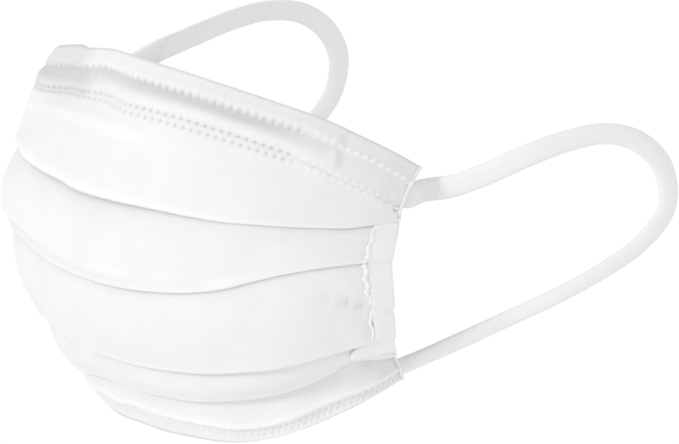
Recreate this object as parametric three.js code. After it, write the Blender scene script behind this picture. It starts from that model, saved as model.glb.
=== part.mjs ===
// A pleated face mask in the shape it has when it is worn, with its two ear loops.
// Millimetres, +Z up, the wearer looks along -Y. The origin is where the mask sits on the bridge of the nose.
import * as THREE from "three";

// Driving dimensions.
const HALF_ROW = 87.5; // half of the cloth's width, laid flat
const CLOTH = 1; // the wall of all plies together
const GAP = 0.3; // kept between pieces that touch
const PITCH = CLOTH + GAP; // from one layer of a pleat to the next
const CREASE_RADIUS = PITCH / 2;
const RIDGE_HALF_WIDTH = 7; // how far the crest over the nose spreads
const RIDGE_ROUNDING = 0.2; // how blunt the crest is, as a part of that width
const FRONT_HALF_WIDTH = 16; // how far the front over nose and mouth spreads
const FRONT_SHARPNESS = 4.4; // how suddenly it ends
const BELL_SHARPNESS = 4; // how narrow the top of a bell-shaped row is
const LEAN_HALF_WIDTH = 20; // where the cloth's slant to one side is greatest
const BINDING_WIDTH = 6.2; // side binding, from the edge inwards
const WIRE = { width: 4.4, thickness: 0.8, halfLength: 69, along: 7.8, rise: 0.5, slope: 1.4 };
const POCKET = { reach: 3.1, slope: 0.8 }; // half of the wire's pocket, down the cloth, and its shoulders
const TOP_MARGIN = 1.5; // flat cloth along the top edge
const BINDING_SLACK = 0.4; // extra room round the pleats' ends
const TOP_HEM_END = 14.6; // where the turned cloth along the top ends, down the centre line
const BOTTOM_HEM_START = 84.5; // where the turned cloth along the bottom starts, down the centre line
const HEM_EASE = 0.2; // extra room for the hems where the cloth bends
const HEM_REACH = HALF_ROW - BINDING_WIDTH - GAP; // both hems stop where the side bindings begin
const STRAP_THICKNESS = 1.8;
const STRAP_STEP = 4; // between two sections of an ear loop
const STRAP_SIDES = 10; // round one section
const STRAP_EASE = 0.4; // extra room for a loop where the cloth bends

// How finely the cloth is divided.
const COLUMNS = 14; // from the centre to one side
const PANEL_STEPS = 5; // down one panel
const CREASE_STEPS = 3; // round one crease
const CENTRE_SPACING = 0.8; // the columns over the nose, compared with evenly spaced ones
const BINDING_STATIONS = 28; // down one side edge

// Where the first panel is divided, below the band over the nose.
const upperSteps = [15.5, 19.5, 24.5];

const named = (columns) => (row) =>
  Object.fromEntries(columns.map((column, i) => [column, row[i]]));

// The cloth's rows from the top edge to the bottom edge, each an arch from side to side.
// along: place down the centre line. halfWidth, sideY: where the row meets the side edge.
// depth: how far its centre lies in front of its ends. centreZ, sideZ: its heights.
// bell: 0 for an even arch, 1 for one with a narrow top. swell: rise of the cheeks.
// front: how far the middle stands forward. ridge: crest over the nose. lean: slant to one side.
const rowColumns = [
  ["along", "halfWidth", "sideY", "depth", "centreZ", "sideZ"],
  ["bell", "swell", "front", "ridge", "lean"],
].flat();
const rows = [
  [0, 53, 6.2, 52.8, 43.4, 20.5, -0.2, -2, -3.2, 3, 1.6],
  [4, 54, 3.2, 52.5, 39, 17.5, -0.25, -1.8, -3.8, 3, 2],
  [13, 55.2, -0.3, 51.8, 32.6, 12.4, -0.15, 0.3, -5, 1.5, 1.6],
  [29, 56.8, -1.6, 56.2, 18, 9.6, 1, 1.5, 1.6, 0, -2.2],
  [46, 58.5, -4.3, 55.8, 1.8, 2.5, 0.4, -2.9, 0, 0, -2.7],
  [68, 56.5, -2.5, 48.5, -21.9, -15.7, 0.3, -2.8, 0, 0, -1.2],
  [79, 51, 0.9, 44.9, -31, -20.7, 0.6, -5.6, 0, 0, 0.7],
  [90, 50, 3.6, 38.7, -42.8, -27.3, 0.15, -3, 0, 0, 0.3],
].map(named(rowColumns));
const LAST = rows[rows.length - 1].along;

// The pleats: where each lower fold lies, and how far the cloth runs back up behind it.
const foldColumns = ["along", "centreOverlap", "sideOverlap"];
const folds = [
  [29, 5, 1.2],
  [47.5, 4, 4],
  [68, 3.5, 5],
  [79, 2, 2],
].map(named(foldColumns));

// Height of the top hem's middle where it passes behind the wire.
const pocketHeight = WIRE.rise - CLOTH - 2 * GAP - WIRE.thickness - HEM_EASE;

// The welded ends of the ear loops, inside the cloth, each from its tip to where it comes out.
// inward: from the side edge. along: down the rows. depth: behind the form.
const behindBinding = 3 * PITCH + BINDING_SLACK + CLOTH / 2 + GAP + STRAP_THICKNESS / 2;
const behindPocket = CLOTH / 2 - pocketHeight + GAP + STRAP_THICKNESS / 2 + STRAP_EASE;
const tabColumns = ["inward", "along", "depth"];
const leftTopTab = [
  [9, 6.5, behindBinding],
  [4.5, 6.5, behindBinding],
  [-3, 6.5, behindBinding],
].map(named(tabColumns));
const rightTopTab = [
  [21, 9.5, behindPocket],
  [18.5, 4, behindPocket],
  [15.5, -1.5, behindPocket],
].map(named(tabColumns));
const bottomTab = [
  [-3, 88.3, behindBinding],
  [4.5, 86.8, behindBinding],
  [9, 86, behindBinding],
].map(named(tabColumns));

// The free routes of the ear loops, from the top of the cloth round the ear to its bottom.
// out: distance from the middle of the face. back, up: in Y and Z. width: of the knitted band.
const routeColumns = ["out", "back", "up", "width"];
const leftRoute = [
  [50.5, 8, 14.7, 5.3],
  [54, 13.5, 15.8, 5.3],
  [58.5, 19.2, 18.6, 5.4],
  [63, 26.9, 22.7, 5.4],
  [65, 36.4, 25.5, 5],
  [66, 45.8, 26.3, 4.7],
  [66.5, 54, 23.5, 4.8],
  [66.5, 60, 17.1, 5],
  [66.3, 61.1, 8.2, 4.7],
  [65.5, 55, 0.6, 4.2],
  [64, 45.5, -5.1, 3.9],
  [61.5, 35.8, -9.9, 3.8],
  [57.5, 26.6, -14.4, 3.8],
  [53, 14.5, -19.9, 3.9],
].map(named(routeColumns));
const rightRoute = [
  [47.5, -2.9, 29.7, 5.2],
  [50.5, 2.3, 30, 5.1],
  [56, 12.5, 30.7, 5],
  [61, 23.8, 31.7, 4.8],
  [64.5, 34.6, 32, 4.7],
  [66, 44.5, 30.2, 4.8],
  [66.5, 51.3, 25.5, 5],
  [66.5, 54.5, 19, 5.1],
  [66.3, 53.1, 11.1, 4.8],
  [65.5, 47, 4, 4.4],
  [63.5, 38, -3, 4],
  [59.5, 27.5, -10, 3.8],
  [52.5, 14.8, -18.8, 3.9],
].map(named(routeColumns));

const colours = {
  cloth: 0xf4f4f2,
  binding: 0xeef2f6,
  band: 0xe8e8e8,
  wire: 0xdfe3e6,
};

const { clamp, lerp, smoothstep } = THREE.MathUtils;

// A smooth curve through the rows' values of one column.
function rowValue(column, along) {
  const last = rows.length - 2;
  const found = rows.findIndex((row) => row.along > along);
  const i = clamp(found - 1, 0, last);
  const k = found < 0 ? last : i;
  const slope = (j) => {
    const before = rows[Math.max(j - 1, 0)];
    const after = rows[Math.min(j + 1, rows.length - 1)];
    return (after[column] - before[column]) / (after.along - before.along);
  };
  const [from, to] = [rows[k], rows[k + 1]];
  const span = to.along - from.along;
  const t = (along - from.along) / span;
  const bend = t * t * (3 - 2 * t);
  return (
    from[column] * (1 - bend) +
    to[column] * bend +
    span * slope(k) * t * (1 - t) * (1 - t) -
    span * slope(k + 1) * t * t * (1 - t)
  );
}

// A point of the smooth form under the pleats. across runs from -1 to 1, along down the rows.
function formPoint(across, along) {
  const value = (column) => rowValue(column, along);
  const angle = (across * Math.PI) / 2;
  const x = value("halfWidth") * Math.sin(angle);
  const front = value("front") * Math.exp(-(Math.abs(x / FRONT_HALF_WIDTH) ** FRONT_SHARPNESS));
  const ridge = value("ridge") * Math.exp(RIDGE_ROUNDING - Math.hypot(x / RIDGE_HALF_WIDTH, RIDGE_ROUNDING));
  const y = value("sideY") - value("depth") * Math.cos(angle) - front - ridge;
  const arch = 1 - across * across;
  const drop = lerp(arch, arch ** BELL_SHARPNESS, value("bell"));
  const cheek = value("swell") * Math.sin(2 * angle) ** 2;
  const slant = x / LEAN_HALF_WIDTH;
  const lean = value("lean") * slant * Math.exp((1 - slant * slant) / 2);
  return new THREE.Vector3(x, y, lerp(value("sideZ"), value("centreZ"), drop) + cheek + lean);
}

// The directions at a point of the form: sideways, down and out of the cloth.
function formFrame(across, along) {
  const step = 1e-3;
  const [left, right] = [Math.max(across - step, -1), Math.min(across + step, 1)];
  const [high, low] = [Math.max(along - step, 0), Math.min(along + step, LAST)];
  const sideways = formPoint(right, along).sub(formPoint(left, along)).normalize();
  const down = formPoint(across, low).sub(formPoint(across, high)).normalize();
  const out = new THREE.Vector3().crossVectors(down, sideways).normalize();
  return { sideways, down, out };
}

// A place on the cloth: past an edge it goes straight on, and height is off the form.
function place(across, along, height) {
  const [u, q] = [clamp(across, -1, 1), clamp(along, 0, LAST)];
  const { sideways, down, out } = formFrame(u, q);
  return formPoint(u, q)
    .addScaledVector(sideways, (across - u) * HALF_ROW)
    .addScaledVector(down, along - q)
    .addScaledVector(out, height);
}

// One column of the form, measured from the top edge down.
function measureColumn(across) {
  const step = 0.5;
  const count = Math.round(LAST / step);
  const marks = [{ along: 0, run: 0 }];
  let point = formPoint(across, 0);
  for (let i = 1; i <= count; i++) {
    const next = formPoint(across, (i * LAST) / count);
    marks.push({ along: (i * LAST) / count, run: marks[i - 1].run + next.distanceTo(point) });
    point = next;
  }
  const look = (from, to) => (value) => {
    const i = clamp(marks.findIndex((mark) => mark[from] > value), 1, count);
    const k = value >= marks[count][from] ? count : i;
    const [a, b] = [marks[k - 1], marks[k]];
    return a[to] + ((b[to] - a[to]) * (value - a[from])) / (b[from] - a[from]);
  };
  return { across, length: marks[count].run, runAt: look("along", "run"), alongAt: look("run", "along") };
}

// The band over the nose in one column, as [run, height] points: the cloth stands out over the wire.
function bandPath(column) {
  const clear = WIRE.halfLength + WIRE.width;
  const reach = 1 - smoothstep(Math.abs(column.across) * HALF_ROW, clear, clear + WIRE.width);
  const middle = column.runAt(WIRE.along);
  const flat = WIRE.width / 2 + GAP;
  const foot = flat + WIRE.slope;
  return [
    [0, 0],
    [TOP_MARGIN, 0],
    [middle - foot, 0],
    [middle - flat, WIRE.rise * reach],
    [middle, WIRE.rise * reach],
    [middle + flat, WIRE.rise * reach],
    [middle + foot, 0],
  ];
}

// The points round one crease, from the layer above to the layer behind it.
function crease(run, height, turn) {
  return Array.from({ length: CREASE_STEPS + 1 }, (_, i) => {
    const angle = Math.PI / 2 - (Math.PI * i) / CREASE_STEPS;
    return [run + turn * CREASE_RADIUS * Math.cos(angle), height + CREASE_RADIUS * Math.sin(angle)];
  });
}

// Height of the panel below a fold: it starts two layers behind the form and comes back to it.
function panelHeight(run, foldRun, endRun) {
  const clear = foldRun + CREASE_RADIUS + CLOTH;
  return -2 * PITCH * (1 - smoothstep(run, clear, Math.max(endRun - CREASE_RADIUS, clear + 1)));
}

// The middle line of the pleated cloth in one column, as [run, height] points.
function pleatPath(column) {
  const side = column.across ** 2;
  const path = [...bandPath(column), ...upperSteps.map((along) => [column.runAt(along), 0])];
  folds.forEach((fold, k) => {
    const end = column.runAt(fold.along);
    const overlap = lerp(fold.centreOverlap, fold.sideOverlap, side);
    path.push(...crease(end, -CREASE_RADIUS, 1));
    path.push(...crease(end - overlap, -PITCH - CREASE_RADIUS, -1));
    const next = folds[k + 1] ? column.runAt(folds[k + 1].along) : column.length;
    const open = end + CREASE_RADIUS;
    for (let i = 0; i < PANEL_STEPS; i++) {
      const run = lerp(open, next, i / PANEL_STEPS);
      path.push([run, panelHeight(run, end, next)]);
    }
  });
  path.push([column.length, 0]);
  return path;
}

// A ring round a middle line: one face going, the other face coming back.
function wallRing(path, thickness) {
  const face = (side) =>
    path.map(([x, y], i) => {
      const [a, b] = [path[Math.max(i - 1, 0)], path[Math.min(i + 1, path.length - 1)]];
      const before = Math.atan2(y - a[1], x - a[0]);
      const after = Math.atan2(b[1] - y, b[0] - x);
      const [first, second] = [i ? before : after, i < path.length - 1 ? after : before];
      const normal = [-Math.sin(first) - Math.sin(second), Math.cos(first) + Math.cos(second)];
      const reach = (side * thickness) / (1 + Math.cos(first - second));
      return [x + normal[0] * reach, y + normal[1] * reach];
    });
  return [...face(0.5), ...face(-0.5).reverse()];
}

// A closed solid through rings of points, with an end face made of pairs across each end ring.
function loft(name, rings, colour) {
  const size = rings[0].length;
  const positions = rings.flat().flatMap((point) => point.toArray());
  const index = [];
  const quad = (a, b, c, d) => index.push(a, b, c, a, c, d);
  for (let r = 0; r < rings.length - 1; r++)
    for (let i = 0; i < size; i++) {
      const j = (i + 1) % size;
      quad(r * size + i, r * size + j, (r + 1) * size + j, (r + 1) * size + i);
    }
  const lastRing = (rings.length - 1) * size;
  for (let i = 0; i < size / 2 - 1; i++) {
    const [a, b, c, d] = [i, i + 1, size - 2 - i, size - 1 - i];
    quad(d, c, b, a);
    quad(lastRing + a, lastRing + b, lastRing + c, lastRing + d);
  }
  const geometry = new THREE.BufferGeometry();
  geometry.setAttribute("position", new THREE.Float32BufferAttribute(positions, 3));
  geometry.setIndex(volume(positions, index) < 0 ? index.reverse() : index);
  geometry.computeVertexNormals();
  const material = new THREE.MeshStandardMaterial({ color: colour, roughness: 0.9, metalness: 0 });
  const mesh = new THREE.Mesh(geometry, material);
  mesh.name = name;
  return mesh;
}

// The signed volume inside a closed mesh.
function volume(positions, index) {
  const point = (i) => new THREE.Vector3().fromArray(positions, 3 * index[i]);
  let sum = 0;
  for (let i = 0; i < index.length; i += 3) sum += point(i).dot(point(i + 1).cross(point(i + 2)));
  return sum / 6;
}

// The cloth's columns from one side to the other, closer together over the nose.
const clothColumns = Array.from({ length: 2 * COLUMNS + 1 }, (_, i) => {
  const t = i / COLUMNS - 1;
  return measureColumn(t * lerp(1, CENTRE_SPACING, 1 - t * t));
});

// The same columns for a piece that stops short of the sides.
function columnsTo(reach) {
  const end = reach / HALF_ROW;
  const within = clothColumns.filter(({ across }) => Math.abs(across) < end - 1 / HALF_ROW);
  return [measureColumn(-end), ...within, measureColumn(end)];
}

// A solid made of one wall section in each column.
function columnLoft(name, columns, pathOf, thickness, colour) {
  const rings = columns.map((column) =>
    wallRing(pathOf(column), thickness).map(([run, height]) => {
      const inside = clamp(run, 0, column.length);
      return place(column.across, column.alongAt(inside) + run - inside, height);
    }),
  );
  return loft(name, rings, colour);
}

// The pleated panel, from the top edge to the bottom edge.
function maskBody() {
  return columnLoft("mask_body", clothColumns, pleatPath, CLOTH, colours.cloth);
}

// Cloth turned to the inside along the top, with a pocket that holds the wire.
function topHem() {
  const flat = -CLOTH - GAP;
  const path = (column) => {
    const middle = column.runAt(WIRE.along);
    return [
      [0, flat],
      [middle - POCKET.reach - POCKET.slope, flat],
      [middle - POCKET.reach, pocketHeight],
      [middle + POCKET.reach, pocketHeight],
      [middle + POCKET.reach + POCKET.slope, flat],
      [column.runAt(TOP_HEM_END), flat],
    ];
  };
  return columnLoft("top_hem", columnsTo(HEM_REACH), path, CLOTH, colours.cloth);
}

// The flat wire between the outer cloth and the top hem.
function noseWire() {
  const height = WIRE.rise - CLOTH / 2 - GAP - WIRE.thickness / 2;
  const path = (column) => {
    const middle = column.runAt(WIRE.along);
    return [-1, 0, 1].map((side) => [middle + (side * WIRE.width) / 2, height]);
  };
  return columnLoft("nose_wire", columnsTo(WIRE.halfLength), path, WIRE.thickness, colours.wire);
}

// Cloth turned to the inside along the bottom, behind the last panel.
function bottomHem() {
  const lastFold = folds[folds.length - 1];
  const path = (column) => {
    const foldRun = column.runAt(lastFold.along);
    const start = column.runAt(BOTTOM_HEM_START);
    return [0, 1, 2, 3].map((i) => {
      const run = lerp(start, column.length, i / 3);
      return [run, panelHeight(run, foldRun, column.length) - PITCH - HEM_EASE];
    });
  };
  return columnLoft("bottom_hem", columnsTo(HEM_REACH), path, CLOTH, colours.cloth);
}

// The strip that wraps the pleated ends along one side edge.
function sideBinding(name, side) {
  const outer = PITCH + BINDING_SLACK;
  const inner = -3 * PITCH - BINDING_SLACK;
  const inward = BINDING_WIDTH;
  const turn = GAP + CLOTH / 2;
  const path = [
    [-inward, outer],
    [-inward / 2, outer],
    [turn, outer],
    [turn, inner],
    [-inward / 2, inner],
    [-inward, inner],
  ];
  const rings = Array.from({ length: BINDING_STATIONS + 1 }, (_, i) =>
    wallRing(path, CLOTH).map(([beyond, height]) =>
      place(side * (1 + beyond / HALF_ROW), (LAST * i) / BINDING_STATIONS, height),
    ),
  );
  return loft(name, rings, colours.binding);
}

// An ear loop: a flat oval band whose ends are welded inside the top and bottom corners.
function earLoop(name, side, topTab, route) {
  const welded = (tab) =>
    tab.map(({ inward, along, depth }) => place(side * (1 - inward / HALF_ROW), along, -depth));
  const free = route.map(({ out, back, up }) => new THREE.Vector3(side * out, back, up));
  const points = [...welded(topTab), ...free, ...welded(bottomTab)];
  const curve = new THREE.CatmullRomCurve3(points, false, "centripetal");
  const [first, last] = [route[0].width, route[route.length - 1].width];
  const widths = [...topTab.map(() => first), ...route.map(({ width }) => width), ...bottomTab.map(() => last)];
  const count = Math.round(curve.getLength() / STRAP_STEP);
  const rings = Array.from({ length: count + 1 }, (_, i) => {
    const t = curve.getUtoTmapping(i / count);
    const middle = curve.getPoint(t);
    const tangent = curve.getTangent(t);
    const k = Math.min(Math.floor(t * (widths.length - 1)), widths.length - 2);
    const width = lerp(widths[k], widths[k + 1], t * (widths.length - 1) - k);
    const flat = new THREE.Vector3(side, 0, 0).addScaledVector(tangent, -side * tangent.x).normalize();
    const broad = new THREE.Vector3().crossVectors(tangent, flat);
    return Array.from({ length: STRAP_SIDES }, (_, j) => {
      const angle = ((j + 0.5) * 2 * Math.PI) / STRAP_SIDES;
      return middle
        .clone()
        .addScaledVector(broad, (width / 2) * Math.cos(angle))
        .addScaledVector(flat, (STRAP_THICKNESS / 2) * Math.sin(angle));
    });
  });
  return loft(name, rings, colours.band);
}

const mask = new THREE.Group();
mask.add(
  maskBody(),
  topHem(),
  noseWire(),
  bottomHem(),
  sideBinding("side_binding_left", 1),
  sideBinding("side_binding_right", -1),
  earLoop("ear_loop_left", 1, leftTopTab, leftRoute),
  earLoop("ear_loop_right", -1, rightTopTab, rightRoute),
);

// The seat is the inner face of the top hem over the bridge of the nose.
const seat = place(0, WIRE.along, pocketHeight - CLOTH / 2);
mask.position.copy(seat).negate();

export default mask;
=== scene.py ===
import math

import bpy
import numpy as np
from mathutils import Matrix, Vector


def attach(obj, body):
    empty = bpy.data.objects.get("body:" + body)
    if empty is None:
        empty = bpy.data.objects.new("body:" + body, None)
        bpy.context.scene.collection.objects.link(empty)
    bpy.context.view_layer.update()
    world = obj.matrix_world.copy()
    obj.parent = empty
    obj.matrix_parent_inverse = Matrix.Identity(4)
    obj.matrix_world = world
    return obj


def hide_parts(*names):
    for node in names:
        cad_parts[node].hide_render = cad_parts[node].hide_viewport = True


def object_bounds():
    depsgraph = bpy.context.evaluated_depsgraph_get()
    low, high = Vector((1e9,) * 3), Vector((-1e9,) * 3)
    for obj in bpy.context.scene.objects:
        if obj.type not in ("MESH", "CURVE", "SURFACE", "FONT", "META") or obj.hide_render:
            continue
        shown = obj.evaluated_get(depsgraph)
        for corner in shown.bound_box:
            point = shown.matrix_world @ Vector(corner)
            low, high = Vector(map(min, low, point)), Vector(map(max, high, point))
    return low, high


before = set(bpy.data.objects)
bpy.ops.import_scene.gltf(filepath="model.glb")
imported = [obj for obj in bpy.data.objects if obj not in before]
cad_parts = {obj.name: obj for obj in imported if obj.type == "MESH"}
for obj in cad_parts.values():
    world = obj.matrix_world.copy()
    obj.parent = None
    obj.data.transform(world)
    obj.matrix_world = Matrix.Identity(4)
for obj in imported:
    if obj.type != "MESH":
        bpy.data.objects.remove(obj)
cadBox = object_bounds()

mm = 0.001  # metres in a millimetre, and all sizes below are in millimetres
print("frame loaded:", sorted(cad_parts))


def tableOf(columns, *entries):
    # rows of numbers, as one array for each named column
    return dict(zip(columns.split(), np.array(entries, float).T))


def valueAt(table, key, column, at):
    # a smooth curve through one column: cubic between rows, with the slope of its neighbours at each row
    x, y = table[key], table[column]
    k = np.clip(np.searchsorted(x, at, side="right") - 1, 0, len(x) - 2)
    lo, hi = np.maximum(np.arange(len(x)) - 1, 0), np.minimum(np.arange(len(x)) + 1, len(x) - 1)
    slope = (y[hi] - y[lo]) / (x[hi] - x[lo])
    span = x[k + 1] - x[k]
    t = (at - x[k]) / span
    bend = t * t * (3 - 2 * t)
    lift = slope[k] * t * (1 - t) ** 2 - slope[k + 1] * t * t * (1 - t)
    return y[k] * (1 - bend) + y[k + 1] * bend + span * lift


# The worn form under the pleats, the same rows as in the part's source.
# along: place down the centre line; halfWidth, sideY: where a row meets the side edge;
# depth: how far its centre lies in front of its ends; centreZ, sideZ: its heights;
# bell: 0 for an even arch, 1 for a narrow top; swell: rise of the cheeks;
# front: how far the middle stands forward; ridge: crest over the nose; lean: slant to one side.
rows = tableOf(
    "along halfWidth sideY depth centreZ sideZ bell swell front ridge lean",
    (0, 53, 6.2, 52.8, 43.4, 20.5, -0.2, -2, -3.2, 3, 1.6),
    (4, 54, 3.2, 52.5, 39, 17.5, -0.25, -1.8, -3.8, 3, 2),
    (13, 55.2, -0.3, 51.8, 32.6, 12.4, -0.15, 0.3, -5, 1.5, 1.6),
    (29, 56.8, -1.6, 56.2, 18, 9.6, 1, 1.5, 1.6, 0, -2.2),
    (46, 58.5, -4.3, 55.8, 1.8, 2.5, 0.4, -2.9, 0, 0, -2.7),
    (68, 56.5, -2.5, 48.5, -21.9, -15.7, 0.3, -2.8, 0, 0, -1.2),
    (79, 51, 0.9, 44.9, -31, -20.7, 0.6, -5.6, 0, 0, 0.7),
    (90, 50, 3.6, 38.7, -42.8, -27.3, 0.15, -3, 0, 0, 0.3),
)
form = dict(halfRow=87.5, ridgeHalfWidth=7.0, ridgeRounding=0.2, frontHalfWidth=16.0,
            frontSharpness=4.4, bellSharpness=4.0, leanHalfWidth=20.0)
lastRow = rows["along"][-1]


def formPoint(across, along):
    # each row is half an ellipse from side to side; a flat-topped hump stands it forward in the middle,
    # a blunt crest is added over the nose, and its height falls to the sides as 1 - across squared
    def row(column):
        return valueAt(rows, "along", column, along)

    angle = across * math.pi / 2
    x = row("halfWidth") * np.sin(angle)
    front = row("front") * np.exp(-(np.abs(x / form["frontHalfWidth"]) ** form["frontSharpness"]))
    blunt = form["ridgeRounding"]
    ridge = row("ridge") * np.exp(blunt - np.hypot(x / form["ridgeHalfWidth"], blunt))
    y = row("sideY") - row("depth") * np.cos(angle) - front - ridge
    arch = 1 - across ** 2
    drop = arch + (arch ** form["bellSharpness"] - arch) * row("bell")
    cheek = row("swell") * np.sin(2 * angle) ** 2
    slant = x / form["leanHalfWidth"]
    lean = row("lean") * slant * np.exp((1 - slant ** 2) / 2)
    return np.stack([x, y, row("sideZ") + (row("centreZ") - row("sideZ")) * drop + cheek + lean], -1)


def unit(v):
    # vectors divided by their lengths
    return v / np.maximum(np.linalg.norm(v, axis=-1, keepdims=True), 1e-9)


def formFrame(across, along):
    # differences of the form give its sideways and downward directions, and their cross product faces out
    step = 1e-3
    right, left = np.minimum(across + step, 1), np.maximum(across - step, -1)
    low, high = np.minimum(along + step, lastRow), np.maximum(along - step, 0)
    sideways = unit(formPoint(right, along) - formPoint(left, along))
    downward = formPoint(across, low) - formPoint(across, high)
    stretch = np.linalg.norm(downward, axis=-1) / (low - high)
    down = unit(downward)
    return sideways, down, unit(np.cross(down, sideways)), stretch


def place(across, along, height):
    # a point of the form, carried straight on past its edges and lifted off it by height
    across, along, height = np.broadcast_arrays(np.asarray(across, float), along, height)
    u, q = np.clip(across, -1, 1), np.clip(along, 0, lastRow)
    sideways, down, out, _ = formFrame(u, q)
    beyond = ((across - u) * form["halfRow"])[..., None] * sideways + (along - q)[..., None] * down
    return formPoint(u, q) + beyond + height[..., None] * out


# The origin is the seat on the bridge of the nose, as in the part's source.
wire = dict(along=7.8, seatHeight=-2.6, halfLength=69.0)
seat = place(0, wire["along"], wire["seatHeight"])


def toFrame(points):
    # millimetres from the form's own origin, turned into metres from the seat
    return (points - seat) * mm


def addMesh(name, points, faces, uv=None, shade=None, smooth=True):
    # one mesh object from points (metres), groups of faces with as many corners each, map places by corner
    # and a shade by point
    groups = faces if isinstance(faces, list) else [faces]
    corners = np.concatenate([group.ravel() for group in groups])
    sizes = np.concatenate([np.full(len(group), group.shape[1]) for group in groups])
    mesh = bpy.data.meshes.new(name)
    mesh.vertices.add(len(points))
    mesh.vertices.foreach_set("co", np.ascontiguousarray(points, np.float32).ravel())
    mesh.loops.add(len(corners))
    mesh.loops.foreach_set("vertex_index", corners.astype(np.int32))
    mesh.polygons.add(len(sizes))
    mesh.polygons.foreach_set("loop_start", (np.cumsum(sizes) - sizes).astype(np.int32))
    mesh.polygons.foreach_set("use_smooth", np.full(len(sizes), smooth))
    mesh.update(calc_edges=True)
    if uv is not None:
        layer = mesh.uv_layers.new(name="cloth")
        layer.data.foreach_set("uv", np.ascontiguousarray(uv, np.float32).ravel())
    if shade is not None:
        layer = mesh.attributes.new("shade", "FLOAT", "POINT")
        layer.data.foreach_set("value", np.ascontiguousarray(shade, np.float32).ravel())
    piece = bpy.data.objects.new(name, mesh)
    bpy.context.scene.collection.objects.link(piece)
    return piece


def declare(piece, slot, *nodes):
    # the CAD nodes that a piece stands for, which are hidden, and the body that it rides on; slot, its
    # material slot, is not used
    if nodes:
        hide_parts(*nodes)
    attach(piece, "root")
    return piece


def gridFaces(rowCount, columnCount):
    # the quads of a grid of points, numbered row by row
    i, j = np.arange(rowCount - 1)[:, None], np.arange(columnCount - 1)[None, :]
    corner = i * columnCount + j
    return np.stack([corner, corner + 1, corner + columnCount + 1, corner + columnCount], -1).reshape(-1, 4)


def smoothStep(x, low, high):
    # 0 below low, 1 above high, and 3 t squared less 2 t cubed between them
    t = np.clip((x - low) / (high - low), 0, 1)
    return t * t * (3 - 2 * t)


def directionOf(azimuth, elevation):
    # a unit vector turned from the front to the wearer's left, and raised, both in degrees
    a, e = math.radians(azimuth), math.radians(elevation)
    return Vector((math.sin(a) * math.cos(e), -math.cos(a) * math.cos(e), math.sin(e)))


# Camera: the photograph's angle, far away, as its lines run nearly parallel.
# centreX, centreY: the pixel, from the top left, at which the form's own origin lies.
cameraSet = dict(azimuth=60.0, elevation=12.5, distance=2500.0, pixelsPerMm=4.5,
                 centreX=275.7, centreY=217.2, sensor=36.0, near=0.1, far=30.0)
imageSize = (679, 444)


def addCamera():
    back = directionOf(cameraSet["azimuth"], cameraSet["elevation"])
    turned = math.radians(cameraSet["azimuth"])
    right = Vector((math.cos(turned), math.sin(turned), 0))
    up = back.cross(right)
    scale = cameraSet["pixelsPerMm"]
    aim = Vector(toFrame(np.zeros(3)))
    aim += right * ((imageSize[0] / 2 - cameraSet["centreX"]) / scale * mm)
    aim -= up * ((imageSize[1] / 2 - cameraSet["centreY"]) / scale * mm)
    data = bpy.data.cameras.new("camera")
    data.sensor_width = cameraSet["sensor"]
    data.lens = data.sensor_width * cameraSet["distance"] * scale / imageSize[0]
    data.clip_start, data.clip_end = cameraSet["near"], cameraSet["far"]
    camera = bpy.data.objects.new("camera", data)
    turn = Matrix((right, up, back)).transposed().to_4x4()
    camera.matrix_world = Matrix.Translation(aim + back * cameraSet["distance"] * mm) @ turn
    bpy.context.scene.collection.objects.link(camera)
    bpy.context.scene.camera = camera


addCamera()
print("camera placed")

# Light: an even white studio, a small key lamp in front and a little above, and a soft faint one beside it.
# azimuth turns from the front to the wearer's left; powers are watts, distances and sizes metres;
# aim is the place on the form, in millimetres, that the lamps point at.
studio = dict(world=1.02, floorDrop=0.6, floorSize=14.0, floorTone=0.98, floorRoughness=0.9, aim=(0, -20, 0))
lamps = (
    dict(name="key", azimuth=8.0, elevation=22.0, distance=1.9, power=14.0, size=0.4),
    dict(name="side", azimuth=98.0, elevation=-4.0, distance=1.9, power=3.0, size=0.8),
)


def addLamp(name, azimuth, elevation, distance, power, size):
    direction = directionOf(azimuth, elevation)
    middle = Vector(toFrame(np.array(studio["aim"])))
    data = bpy.data.lights.new(name, "AREA")
    data.energy, data.size = power, size
    lamp = bpy.data.objects.new(name, data)
    turn = (-direction).to_track_quat("-Z", "Y").to_matrix().to_4x4()
    lamp.matrix_world = Matrix.Translation(middle + direction * distance) @ turn
    bpy.context.scene.collection.objects.link(lamp)


def addStudio():
    world = bpy.data.worlds.new("studio")
    bpy.context.scene.world = world
    world.use_nodes = True
    world.node_tree.nodes["Background"].inputs[0].default_value = (1, 1, 1, 1)
    world.node_tree.nodes["Background"].inputs[1].default_value = studio["world"]
    for lamp in lamps:
        addLamp(**lamp)
    half, z = studio["floorSize"] / 2, float(cadBox[0][2]) - studio["floorDrop"]
    corners = np.array([(-half, -half, z), (half, -half, z), (half, half, z), (-half, half, z)])
    floor = addMesh("studio_floor", corners, np.array([[0, 1, 2, 3]]), smooth=False)
    material = bpy.data.materials.new("studio_white")
    material.use_nodes = True
    shader = material.node_tree.nodes["Principled BSDF"]
    shader.inputs["Base Color"].default_value = (*[studio["floorTone"]] * 3, 1)
    shader.inputs["Roughness"].default_value = studio["floorRoughness"]
    floor.data.materials.append(material)
    bpy.context.scene.view_settings.view_transform = "Standard"


addStudio()
print("studio lit")

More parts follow.
